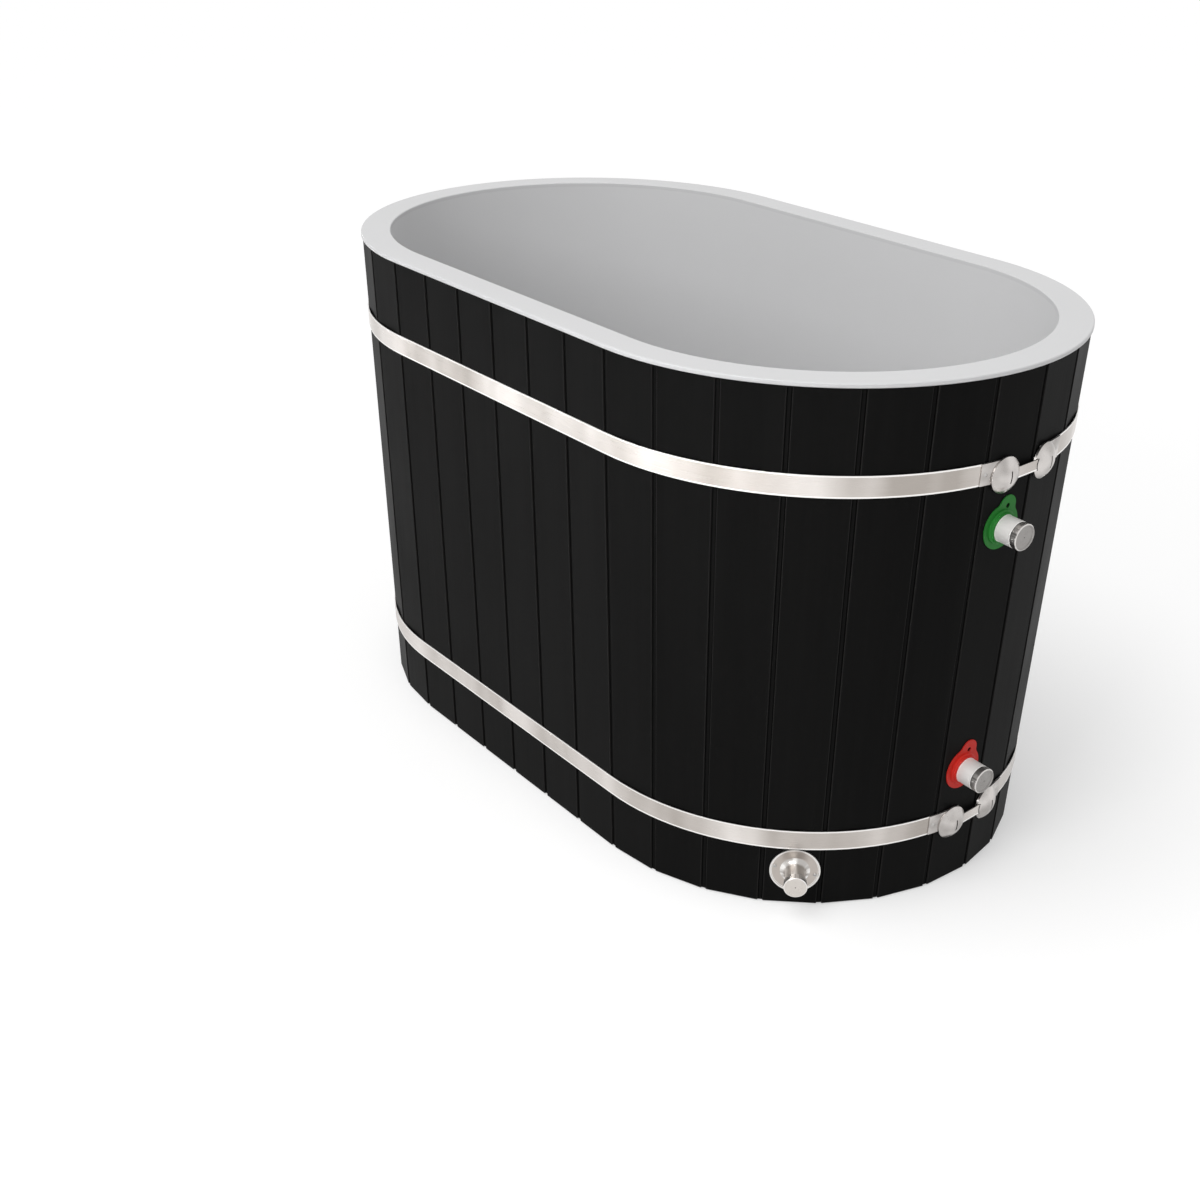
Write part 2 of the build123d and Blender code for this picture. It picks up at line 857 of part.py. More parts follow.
def saddle_gasket(place, outer, inner, z, seat, space):
    ring = place * tube(outer, inner, -wall_depth(z) - seat, liner_wall - wall_depth(z))
    return ring & space


def connection_nodes(name, place, z, space):
    bore = stub_thread_radius + ring_clearance
    return {
        f"{name}_stub": place * stub(z),
        f"{name}_gasket": saddle_gasket(place, gasket_radius, bore, z, gasket_seat, space),
        f"{name}_strainer": place * stub_strainer(z),
        f"{name}_tag": place * tag(),
        f"{name}_lock_ring": place * lock_ring(),
        f"{name}_plug": place * plug(),
        f"{name}_plug_seal": place * plug_seal(),
    }


def drain_nodes(space):
    z = drain_level
    inner = -wall_depth(z) - drain_gasket_seat - lock_nut_height
    bore = outlet_radius + ring_clearance
    inner_gasket = saddle_gasket(drain_place, drain_gasket_radius, bore, z, drain_gasket_seat, space)
    return {
        "drain_body": drain_place * drain_body(z),
        "drain_outer_gasket": drain_place * drain_outer_gasket(),
        "drain_inner_gasket": inner_gasket,
        "drain_lock_nut": drain_place * drain_lock_nut(z),
        "drain_strainer": drain_place * strainer(outlet_bore - strainer_gap, inner),
        "drain_cap": drain_place * drain_cap(),
        "drain_cap_seal": drain_place * drain_cap_seal(),
        "drain_screws": [drain_place * screw for screw in drain_screws()],
    }


def all_nodes():
    space = water_space()
    nodes = {**shell_nodes(), **floor_nodes(), **hoop_nodes()}
    nodes.update(connection_nodes("upper", upper_place, upper_level, space))
    nodes.update(connection_nodes("lower", lower_place, lower_level, space))
    nodes.update(drain_nodes(space))
    return nodes


def write_nodes(nodes):
    os.makedirs("parts", exist_ok=True)
    for name, shape in nodes.items():
        pieces = shape if isinstance(shape, list) else [shape]
        solids = [solid for piece in pieces for solid in piece.solids()]
        whole = solids[0] if len(solids) == 1 else Compound(solids)
        export_step(whole, f"parts/{name}.step")


write_nodes(all_nodes())
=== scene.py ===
import json
import math

import bpy
from mathutils import Matrix, Vector


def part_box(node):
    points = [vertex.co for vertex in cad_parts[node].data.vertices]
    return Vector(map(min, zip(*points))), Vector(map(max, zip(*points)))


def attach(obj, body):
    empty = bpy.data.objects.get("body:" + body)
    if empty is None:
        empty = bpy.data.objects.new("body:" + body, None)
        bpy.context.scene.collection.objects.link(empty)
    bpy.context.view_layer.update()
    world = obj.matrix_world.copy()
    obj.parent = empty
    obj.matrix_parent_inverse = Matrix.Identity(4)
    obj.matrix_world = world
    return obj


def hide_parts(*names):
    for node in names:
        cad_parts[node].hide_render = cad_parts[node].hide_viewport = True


print("loading the tub")
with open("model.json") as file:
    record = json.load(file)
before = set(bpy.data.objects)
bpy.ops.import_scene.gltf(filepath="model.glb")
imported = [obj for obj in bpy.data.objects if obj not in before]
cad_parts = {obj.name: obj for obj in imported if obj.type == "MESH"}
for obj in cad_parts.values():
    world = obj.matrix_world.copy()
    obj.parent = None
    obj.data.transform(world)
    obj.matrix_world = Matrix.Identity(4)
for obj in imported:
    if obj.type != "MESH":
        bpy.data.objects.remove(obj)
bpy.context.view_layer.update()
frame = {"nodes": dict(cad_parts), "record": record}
nodes = frame["nodes"]


class Shade:
    def __init__(self, tree, socket=None):
        self.tree = tree
        self.socket = socket

    def node(self, kind, settings=None, inputs=None, output=0):
        made = self.tree.nodes.new("ShaderNode" + kind)
        for key, value in (settings or {}).items():
            if key == "stops":
                ramp = made.color_ramp
                while len(ramp.elements) < len(value):
                    ramp.elements.new(0.5)
                for element, (place, tone) in zip(ramp.elements, value):
                    element.position = place
                    element.color = (tone, tone, tone, 1)
            else:
                setattr(made, key, value)
        for key, value in (inputs or {}).items():
            self.feed(made.inputs[key], value)
        return Shade(self.tree, made.outputs[output] if len(made.outputs) else None)

    def feed(self, target, value):
        if isinstance(value, Shade):
            self.tree.links.new(value.socket, target)
        elif target.type == "RGBA":
            target.default_value = (*value, 1)
        else:
            target.default_value = value

    def maths(self, operation, first, second=0.0):
        return self.node("Math", {"operation": operation}, {0: first, 1: second})

    def __add__(self, other):
        return self.maths("ADD", self, other)

    def __radd__(self, other):
        return self.maths("ADD", other, self)

    def __sub__(self, other):
        return self.maths("SUBTRACT", self, other)

    def __rsub__(self, other):
        return self.maths("SUBTRACT", other, self)

    def __mul__(self, other):
        return self.maths("MULTIPLY", self, other)

    def __rmul__(self, other):
        return self.maths("MULTIPLY", other, self)

    def __gt__(self, other):
        return self.maths("GREATER_THAN", self, other)

    def here(self):
        return self.node("TexCoord", output="Object")

    def about(self, frameOfPiece):   # the same point, measured from a fitting's own place
        return self.node("Mapping", {"vector_type": "TEXTURE"}, {
            "Vector": self.here(), "Location": frameOfPiece.translation,
            "Rotation": frameOfPiece.to_euler()})

    def axis(self, vector, name):
        return self.node("SeparateXYZ", None, {0: vector}, name)

    def place(self, stretch=(1, 1, 1), shift=(0, 0, 0)):
        return self.node("Mapping", None, {"Vector": self.here(), "Scale": stretch, "Location": shift})

    def noiseAt(self, vector, scale, detail, roughness):
        return self.node("TexNoise", None,
                         {"Vector": vector, "Scale": scale, "Detail": detail, "Roughness": roughness})

    def noise(self, scale, detail, roughness, stretch=(1, 1, 1), shift=(0, 0, 0)):
        return self.noiseAt(self.place(stretch, shift), scale, detail, roughness)

    def blend(self, amount, first, second):
        return self.node("Mix", {"data_type": "RGBA"}, {0: amount, 6: first, 7: second}, 2)

    def ramp(self, value, stops):
        return self.node("ValToRGB", {"stops": stops}, {"Fac": value})

    def bump(self, height, depth, strength):
        return self.node("Bump", None, {"Height": height, "Distance": depth, "Strength": strength})


def makeFinish(name, plan):
    material = bpy.data.materials.new(name)
    material.use_nodes = True
    tree = material.node_tree
    shader = tree.nodes["Principled BSDF"]
    start = Shade(tree)
    for socket, value in plan(start).items():
        start.feed(shader.inputs[socket], value)
    return material


def wear(finish, *names):
    for name in names:
        for slot in nodes[name].material_slots:
            slot.material = finish


def times(colour, factor):
    return tuple(part * factor for part in colour)


print("places on the end boards")
endBoards = {
    "count": 13,                 # round each end
    "centre": 0.3364,            # from the tub's middle to the middle of an end's curve
    "floorRadius": 0.4424,
    "lean": 0.0361,              # outwards for each metre of height
}
fittings = {                     # which end board, how high, and how far to its side
    "upper": {"board": 6, "height": 0.719},
    "lower": {"board": 6, "height": 0.241},
    "drain": {"board": 3, "height": 0.076, "along": 0.006},
}


def fittingFrame(board, height, along=0.0):  # x across the board, y up it and z outwards
    half = math.pi / endBoards["count"] / 2
    angle = (2 * board + 1) * half - math.pi / 2
    dip = math.atan(endBoards["lean"] * math.cos(half))
    normal = Vector((math.cos(angle), math.sin(angle), 0))
    tangent = Vector((-normal.y, normal.x, 0))
    outwards = normal * math.cos(dip) - Vector((0, 0, math.sin(dip)))
    reach = (endBoards["floorRadius"] + endBoards["lean"] * height) * math.cos(half)
    origin = Vector((endBoards["centre"], 0, height)) + normal * reach + tangent * along
    facing = Matrix((tangent, outwards.cross(tangent), outwards)).transposed().to_4x4()
    return Matrix.Translation(origin) @ facing


upperFrame = fittingFrame(**fittings["upper"])
lowerFrame = fittingFrame(**fittings["lower"])
drainFrame = fittingFrame(**fittings["drain"])

print("boards")
# planed softwood boards, stained near black and sealed, with a shadow channel at each seam; painted shade
# darkens each channel and a painted highlight lightens its edges
boards = {
    "perSide": 6,
    "dark": (0.0036, 0.0036, 0.0036),
    "light": (0.0092, 0.0091, 0.0089),
    "grain": dict(scale=1.0, detail=6.0, roughness=0.62, stretch=(210, 210, 3.2)),
    "streak": dict(scale=1.0, detail=3.0, roughness=0.5, stretch=(48, 48, 1.1), shift=(3, 7, 2)),
    "broad": dict(scale=1.0, detail=1.5, roughness=0.5, stretch=(8, 8, 0.5), shift=(11, 4, 6)),
    "patch": dict(scale=5.5, detail=2.0, roughness=0.5, stretch=(1, 1, 0.7), shift=(2, 9, 5)),
    "lightness": {"grain": 0.35, "streak": 0.35, "broad": 0.55, "less": 0.12},
    # painted shade: the channel ramp darkens each seam channel
    "channelStops": ((0.2, 0.0), (0.3, 1.0), (0.4, 1.0), (0.44, 0.0)),   # cm from the seam
    "channelPaintedShade": (0.0008, 0.0008, 0.0008),
    # painted highlight: the edge ramp lightens the channel's edges, more where the grain is light
    "edgeHighlightStops": ((0.42, 0.0), (0.46, 1.0), (0.54, 1.0), (0.66, 0.0)),   # cm from the seam
    "edgeHighlightTone": (0.023, 0.0225, 0.022),
    "edgeHighlightAmount": {"least": 0.4, "grain": 0.6},
    "sheen": 0.02,
    "roughness": {"least": 0.32, "patch": 0.16, "grain": 0.1},
    "relief": {"grain": 0.7, "streak": 0.9},
    "reliefDepth": 0.0004,
    "reliefStrength": 0.5,
}


def distanceFromSeam(s):
    here = s.here()
    x, y = s.axis(here, "X"), s.maths("ABSOLUTE", s.axis(here, "Y"))
    past = s.maths("ABSOLUTE", x) - endBoards["centre"]   # above 0 round the ends
    radius = s.maths("SQRT", past * past + y * y)
    step = math.pi / endBoards["count"]
    width = 2 * endBoards["centre"] / boards["perSide"]
    halfBoard = 0.5
    endSeam = s.maths("PINGPONG", s.maths("ARCTAN2", past, y) * (1 / step), halfBoard) * radius * step
    sideSeam = s.maths("PINGPONG", (x + endBoards["centre"]) * (1 / width), halfBoard) * width
    atEnd = past > 0.0
    return endSeam * atEnd + sideSeam * (1 - atEnd)


def boardPlan(s):
    grain, streak, broad, patch = (s.noise(**boards[name]) for name in ("grain", "streak", "broad", "patch"))
    share, rough = boards["lightness"], boards["roughness"]
    relief, highlightAmount = boards["relief"], boards["edgeHighlightAmount"]
    lightness = grain * share["grain"] + streak * share["streak"] + broad * share["broad"] - share["less"]
    centimetres = distanceFromSeam(s) * 100.0
    # painted highlight along each channel's edges
    paintedEdgeHighlight = s.ramp(centimetres, boards["edgeHighlightStops"]) * (grain * highlightAmount["grain"] + highlightAmount["least"])
    face = s.blend(lightness, boards["dark"], boards["light"])
    # painted shade in each seam channel
    face = s.blend(s.ramp(centimetres, boards["channelStops"]), face, boards["channelPaintedShade"])
    height = grain * relief["grain"] + streak * relief["streak"]
    return {
        "Base Color": s.blend(paintedEdgeHighlight, face, boards["edgeHighlightTone"]),
        "Roughness": rough["least"] + patch * rough["patch"] + grain * rough["grain"],
        "Specular IOR Level": boards["sheen"],
        "Normal": s.bump(height, boards["reliefDepth"], boards["reliefStrength"]),
    }


wear(makeFinish("stainedBoard", boardPlan), *[name for name in nodes if "stave" in name])


print("inner tub")
# one grey moulding with a fine pebbled skin; its rim is painted a little darker than the inside, painted
# shade against the stronger light on its top
tubShell = {
    "inside": (0.66, 0.66, 0.665), "insideDip": 0.94,    # the darker parts, as a share of the colour
    # the rim colour is painted shade on the rim's top
    "rim": (0.62, 0.62, 0.625), "rimDip": 0.96,
    "rimHeight": 0.9915,
    "cloud": dict(scale=3.2, detail=3.0, roughness=0.5), "insideCloud": 0.5, "rimCloud": 0.6,
    "pebble": dict(scale=190.0, detail=2.0, roughness=0.5),
    "sheen": 0.35,
    "roughness": 0.42, "cloudRoughness": 0.12,
    "cloudHeight": 2.0, "reliefDepth": 0.00012, "reliefStrength": 0.5,
}


def shellPlan(s):
    cloud, pebble = s.noise(**tubShell["cloud"]), s.noise(**tubShell["pebble"])
    # painted shade: the rim's top gets the darker rim colour
    isRim = s.axis(s.here(), "Z") > tubShell["rimHeight"]
    inside = s.blend(cloud * tubShell["insideCloud"], tubShell["inside"],
                     times(tubShell["inside"], tubShell["insideDip"]))
    rim = s.blend(cloud * tubShell["rimCloud"], tubShell["rim"], times(tubShell["rim"], tubShell["rimDip"]))
    height = pebble + cloud * tubShell["cloudHeight"]
    return {
        "Base Color": s.blend(isRim, inside, rim),
        "Roughness": tubShell["roughness"] + cloud * tubShell["cloudRoughness"],
        "Specular IOR Level": tubShell["sheen"],
        "Normal": s.bump(height, tubShell["reliefDepth"], tubShell["reliefStrength"]),
    }


wear(makeFinish("mouldedShell", shellPlan), "inner_tub")


print("hoops, lugs and pipe fittings")
hoopSteel = {
    "colour": (0.76, 0.72, 0.69), "shade": (0.41, 0.375, 0.345),
    "brushed": dict(scale=1.0, detail=3.0, roughness=0.6, stretch=(14, 14, 1500)),
    # the wave bands in the colour are partly mill-finish tone and partly painted reflections
    "wave": dict(scale=1.0, detail=2.0, roughness=0.5, stretch=(7.5, 7.5, 1.6), shift=(5, 1, 3)),
    "lightness": {"wave": 2.9, "brushed": 0.3, "less": 1.15},
    "edge": (0.9, 0.88, 0.86), "edgeHalfWidth": 0.0014,   # a painted highlight along each edge of a band
    "roughness": 0.23, "brushedRoughness": 0.12,
    "relief": {"wave": 9.0, "brushed": 0.12},
    "reliefDepth": 0.0009, "reliefStrength": 0.5,
}
lugSteel = {
    "colour": (0.63, 0.6, 0.58), "shade": (0.34, 0.32, 0.305),
    # the dent ramp's light and dark patches are painted reflections of the dents
    "dent": dict(scale=30.0, detail=1.0, roughness=0.5, shift=(2, 7, 4)),
    "dentStops": ((0.3, 0.0), (0.68, 1.0)),
    "fine": dict(scale=420.0, detail=2.0, roughness=0.5),
    "roughness": 0.24, "fineRoughness": 0.1,
    "relief": {"dent": 8.0, "fine": 0.1},
    "reliefDepth": 0.0011, "reliefStrength": 0.6,
}
drainSteel = {
    "colour": (0.6, 0.57, 0.55), "shade": (0.44, 0.41, 0.385), "metal": 1.0,
    "fine": dict(scale=520.0, detail=2.0, roughness=0.5),
    "smear": dict(scale=26.0, detail=3.0, roughness=0.55),
    "roughness": 0.28, "smearRoughness": 0.16,
    "reliefDepth": 0.00006, "reliefStrength": 0.4,
}
pipeSteel = {
    "colour": (0.96, 0.94, 0.92), "shade": (0.84, 0.815, 0.795), "metal": 0.3,   # blasted nearly white
    "fine": dict(scale=640.0, detail=2.0, roughness=0.5),
    "smear": dict(scale=34.0, detail=3.0, roughness=0.55, shift=(4, 2, 8)),
    "roughness": 0.31, "smearRoughness": 0.12,
    "reliefDepth": 0.00005, "reliefStrength": 0.4,
}
screwSteel = {
    "colour": (0.58, 0.565, 0.55), "shade": (0.4, 0.39, 0.38),
    "smear": dict(scale=90.0, detail=2.0, roughness=0.5),
    "roughness": 0.3, "smearRoughness": 0.15,
}


def bandPlan(s):
    brushed, wave = s.noise(**hoopSteel["brushed"]), s.noise(**hoopSteel["wave"])
    share, relief = hoopSteel["lightness"], hoopSteel["relief"]
    height = s.axis(s.here(), "Z")
    fromEdgeLine = 1.0           # farther than any edge
    for name in ("upper_hoop", "lower_hoop"):
        low, high = (corner[2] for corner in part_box(name))
        fromMiddle = s.maths("ABSOLUTE", height - (low + high) / 2)
        away = fromMiddle + hoopSteel["edgeHalfWidth"] - (high - low) / 2
        fromEdgeLine = s.maths("MINIMUM", s.maths("ABSOLUTE", away), fromEdgeLine)
    # partly mill-finish tone, partly painted reflections
    lightness = wave * share["wave"] + brushed * share["brushed"] - share["less"]
    face = s.blend(lightness, hoopSteel["shade"], hoopSteel["colour"])
    ripple = wave * relief["wave"] + brushed * relief["brushed"]
    return {
        # painted highlight along each band edge
        "Base Color": s.blend(fromEdgeLine > hoopSteel["edgeHalfWidth"], hoopSteel["edge"], face),
        "Metallic": 1.0,
        "Roughness": hoopSteel["roughness"] + brushed * hoopSteel["brushedRoughness"],
        "Normal": s.bump(ripple, hoopSteel["reliefDepth"], hoopSteel["reliefStrength"]),
    }


def lugPlan(s):
    dent, fine = s.noise(**lugSteel["dent"]), s.noise(**lugSteel["fine"])
    height = dent * lugSteel["relief"]["dent"] + fine * lugSteel["relief"]["fine"]
    return {
        # painted reflections of the dents
        "Base Color": s.blend(s.ramp(dent, lugSteel["dentStops"]), lugSteel["shade"], lugSteel["colour"]),
        "Metallic": 1.0,
        "Roughness": lugSteel["roughness"] + fine * lugSteel["fineRoughness"],
        "Normal": s.bump(height, lugSteel["reliefDepth"], lugSteel["reliefStrength"]),
    }


def satinPlan(steel):
    def plan(s):
        fine, smear = s.noise(**steel["fine"]), s.noise(**steel["smear"])
        return {
            "Base Color": s.blend(smear, steel["shade"], steel["colour"]),
            "Metallic": steel["metal"],
            "Roughness": steel["roughness"] + smear * steel["smearRoughness"],
            "Normal": s.bump(fine, steel["reliefDepth"], steel["reliefStrength"]),
        }
    return plan


def screwPlan(s):
    smear = s.noise(**screwSteel["smear"])
    return {
        "Base Color": s.blend(smear, screwSteel["shade"], screwSteel["colour"]),
        "Metallic": 1.0,
        "Roughness": screwSteel["roughness"] + smear * screwSteel["smearRoughness"],
    }


bandFinish = makeFinish("hoopBand", bandPlan)
fittingFinish = makeFinish("satinSteel", satinPlan(drainSteel))
pipeFinish = makeFinish("blastedSteel", satinPlan(pipeSteel))
screwFinish = makeFinish("screwSteel", screwPlan)


print("plastics, rubber, foam and plywood")
tagPlastic = {
    "green": (0.0155, 0.158, 0.0215), "red": (0.5, 0.021, 0.014),
    "lighter": {"times": 1.2, "more": 0.001},
    "cloud": dict(scale=60.0, detail=3.0, roughness=0.5),
    "sheen": 0.14,
    "roughness": 0.36, "cloudRoughness": 0.14,
    "reliefDepth": 0.00015, "reliefStrength": 0.4,
}
sealRubber = {
    "dark": (0.012, 0.012, 0.012), "light": (0.028, 0.028, 0.027),
    "grain": dict(scale=420.0, detail=3.0, roughness=0.6),
    "sheen": 0.2,
    "roughness": 0.68, "grainRoughness": 0.2,
    "reliefDepth": 0.00008, "reliefStrength": 0.5,
}
blanketFoam = {
    "dark": (0.62, 0.6, 0.54), "light": (0.74, 0.72, 0.66),
    "cellScale": 260.0,
    "cloud": dict(scale=9.0, detail=3.0, roughness=0.5),
    "roughness": 0.85, "cloudRoughness": 0.1,
    "reliefDepth": 0.0008, "reliefStrength": 0.5,
}
floorPlywood = {
    "dark": (0.3, 0.185, 0.09), "light": (0.5, 0.35, 0.2),
    "grain": dict(scale=1.0, detail=5.0, roughness=0.6, stretch=(3, 90, 60)),
    "layers": {"Scale": 62.0, "Distortion": 0.8, "Detail": 2.0},
    "lightness": {"grain": 0.7, "layers": 0.25},
    "roughness": 0.6, "grainRoughness": 0.2,
    "reliefDepth": 0.0004, "reliefStrength": 0.5,
}


def plasticPlan(colour):
    lighter = tuple(part * tagPlastic["lighter"]["times"] + tagPlastic["lighter"]["more"] for part in colour)

    def plan(s):
        cloud = s.noise(**tagPlastic["cloud"])
        return {
            "Base Color": s.blend(cloud, colour, lighter),
            "Roughness": tagPlastic["roughness"] + cloud * tagPlastic["cloudRoughness"],
            "Specular IOR Level": tagPlastic["sheen"],
            "Normal": s.bump(cloud, tagPlastic["reliefDepth"], tagPlastic["reliefStrength"]),
        }
    return plan


def rubberPlan(s):
    grain = s.noise(**sealRubber["grain"])
    return {
        "Base Color": s.blend(grain, sealRubber["dark"], sealRubber["light"]),
        "Roughness": sealRubber["roughness"] + grain * sealRubber["grainRoughness"],
        "Specular IOR Level": sealRubber["sheen"],
        "Normal": s.bump(grain, sealRubber["reliefDepth"], sealRubber["reliefStrength"]),
    }


def foamPlan(s):
    cell = s.node("TexVoronoi", None, {"Vector": s.place(), "Scale": blanketFoam["cellScale"]})
    cloud = s.noise(**blanketFoam["cloud"])
    return {
        "Base Color": s.blend(cloud, blanketFoam["dark"], blanketFoam["light"]),
        "Roughness": blanketFoam["roughness"] + cloud * blanketFoam["cloudRoughness"],
        "Normal": s.bump(cell, blanketFoam["reliefDepth"], blanketFoam["reliefStrength"]),
    }


def plywoodPlan(s):
    grain = s.noise(**floorPlywood["grain"])
    layers = s.node("TexWave", {"bands_direction": "Z"}, {"Vector": s.place(), **floorPlywood["layers"]})
    lightness = grain * floorPlywood["lightness"]["grain"] + layers * floorPlywood["lightness"]["layers"]
    return {
        "Base Color": s.blend(lightness, floorPlywood["dark"], floorPlywood["light"]),
        "Roughness": floorPlywood["roughness"] + grain * floorPlywood["grainRoughness"],
        "Normal": s.bump(grain, floorPlywood["reliefDepth"], floorPlywood["reliefStrength"]),
    }


finishBySlot = {
    "foam": makeFinish("foam", foamPlan),
    "plywood": makeFinish("plywood", plywoodPlan),
    "fastener": screwFinish,
    "hoop": bandFinish,
    "lug": makeFinish("pressedSteel", lugPlan),
    "pipe": pipeFinish,
    "drain_metal": fittingFinish,
    "gasket": makeFinish("rubber", rubberPlan),
    "green_plastic": makeFinish("greenPlastic", plasticPlan(tagPlastic["green"])),
    "red_plastic": makeFinish("redPlastic", plasticPlan(tagPlastic["red"])),
}
for row in frame["record"]["subparts"]:
    if row["material_slot"] in finishBySlot:
        wear(finishBySlot[row["material_slot"]], row["node"])


print("turned faces of the plugs, the cap and the drain")
# a grooved end face, a painted highlight ring at its edge and painted reflection streaks along the side;
# reaches are metres from the axis
turned = {
    "cloud": dict(scale=70.0, detail=3.0, roughness=0.6),
    "streaks": dict(scale=2.6, detail=2.0, roughness=0.55), "streakStops": ((0.34, 0.0), (0.5, 1.0)),
    "grooveAngle": 4300.0,       # radians for each metre outwards, so a groove every 1.5 mm
    "lightness": {"groove": 0.35, "cloud": 0.6},
    # a dark centre dot: painted shade of a small centre dimple
    "dotReach": 0.0011, "dotTone": (0.08, 0.076, 0.072),
    "roughness": 0.22, "cloudRoughness": 0.14,
    "cloudHeight": 0.4, "reliefDepth": 0.00008, "reliefStrength": 0.5,
}
plugSteel = {
    # the plug face is painted darker than the side: painted reflection of shade
    "face": (0.36, 0.345, 0.335), "faceShade": (0.23, 0.22, 0.21), "faceReach": 0.0224,
    # painted highlight ring at the face's edge
    "edge": (0.66, 0.64, 0.62), "edgeReach": 0.0234,
    "side": (0.66, 0.635, 0.615), "sideShade": (0.24, 0.23, 0.22),
}
capSteel = {
    "face": (0.7, 0.66, 0.62), "faceShade": (0.56, 0.525, 0.49), "faceReach": 0.0196,
    "edge": (0.86, 0.84, 0.82), "edgeReach": 0.0206,
    # painted highlight ring at the face's edge
    "side": (0.72, 0.7, 0.68), "sideShade": (0.3, 0.285, 0.27),
}
neckSteel = {
    "neck": (0.88, 0.86, 0.84), "neckShade": (0.48, 0.46, 0.44), "neckReach": 0.027,
    "flange": (0.5, 0.455, 0.42), "flangeDip": 0.86, "flangeReach": 0.0412,
    # painted highlight on the flange's raised rim
    "rim": (0.78, 0.76, 0.74),
    "cloud": dict(scale=60.0, detail=3.0, roughness=0.6), "flangeCloud": 0.5,
    # the neck streaks are painted reflection bands
    "streaks": dict(scale=1.9, detail=1.0, roughness=0.5), "streakStops": ((0.42, 0.0), (0.56, 1.0)),
    "roughness": 0.24, "cloudRoughness": 0.12,
    "reliefDepth": 0.00008, "reliefStrength": 0.4,
}


def roundAxis(s, frameOfPiece, look):   # distance from a fitting's axis, and painted reflection streaks that run along it
    local = s.about(frameOfPiece)
    x, y = s.axis(local, "X"), s.axis(local, "Y")
    across = s.node("VectorMath", {"operation": "MULTIPLY"}, {0: local, 1: (1, 1, 0)})
    outwards = s.node("VectorMath", {"operation": "NORMALIZE"}, {0: across})
    streaks = s.ramp(s.noiseAt(outwards, **look["streaks"]), look["streakStops"])
    return s.maths("SQRT", x * x + y * y), streaks


def turnedPlan(frameOfPiece, steel):
    def plan(s):
        radius, streaks = roundAxis(s, frameOfPiece, turned)
        cloud = s.noise(**turned["cloud"])
        groove = s.maths("SINE", radius * turned["grooveAngle"]) * 0.5 + 0.5   # from 0 to 1
        lightness = groove * turned["lightness"]["groove"] + cloud * turned["lightness"]["cloud"]
        face = s.blend(lightness, steel["faceShade"], steel["face"])
        # painted shade of a centre dimple
        face = s.blend(radius > turned["dotReach"], turned["dotTone"], face)
        # painted reflection streaks along the side
        side = s.blend(streaks, steel["sideShade"], steel["side"])
        # painted highlight ring at the face's edge
        outer = s.blend(radius > steel["edgeReach"], steel["edge"], side)
        height = groove + cloud * turned["cloudHeight"]
        return {
            "Base Color": s.blend(radius > steel["faceReach"], face, outer),
            "Metallic": 1.0,
            "Roughness": turned["roughness"] + cloud * turned["cloudRoughness"],
            "Normal": s.bump(height, turned["reliefDepth"], turned["reliefStrength"]),
        }
    return plan


def neckPlan(s):
    radius, streaks = roundAxis(s, drainFrame, neckSteel)
    cloud = s.noise(**neckSteel["cloud"])
    # painted reflection streaks along the neck
    neck = s.blend(streaks, neckSteel["neckShade"], neckSteel["neck"])
    flange = s.blend(cloud * neckSteel["flangeCloud"], neckSteel["flange"],
                     times(neckSteel["flange"], neckSteel["flangeDip"]))
    # painted highlight on the flange rim
    plate = s.blend(radius > neckSteel["flangeReach"], flange, neckSteel["rim"])
    return {
        "Base Color": s.blend(radius > neckSteel["neckReach"], neck, plate),
        "Metallic": 1.0,
        "Roughness": neckSteel["roughness"] + cloud * neckSteel["cloudRoughness"],
        "Normal": s.bump(cloud, neckSteel["reliefDepth"], neckSteel["reliefStrength"]),
    }


wear(makeFinish("upperPlugFace", turnedPlan(upperFrame, plugSteel)), "upper_plug")
wear(makeFinish("lowerPlugFace", turnedPlan(lowerFrame, plugSteel)), "lower_plug")
wear(makeFinish("drainCapFace", turnedPlan(drainFrame, capSteel)), "drain_cap")
wear(makeFinish("drainNeck", neckPlan), "drain_body")


def deselect():
    bpy.ops.object.select_all(action="DESELECT")


def settle(piece, place):   # the place goes into the mesh, and the object stays at the origin
    piece.matrix_world = place
    bpy.ops.object.transform_apply(location=True, rotation=True, scale=True)


def cover(piece, finish):
    piece.data.materials.clear()
    piece.data.materials.append(finish)


print("threads")
threads = {
    "pitch": 0.0254 / 11,
    "halfWidth": 0.42,           # of the ridge, as a share of the pitch
    "tip": 0.2,                  # of the pitch: a corner farther in or out than this is a tip
    "rise": 0.00022,             # how far the ridge stands out of the metal
    "root": 0.0006,              # how far it is rooted in it
    "steps": 72,
    "plug": {"radius": 0.02105, "start": 0.0305, "turns": 4},
    "outlet": {"radius": 0.0166, "start": 0.0415, "turns": 3},
}


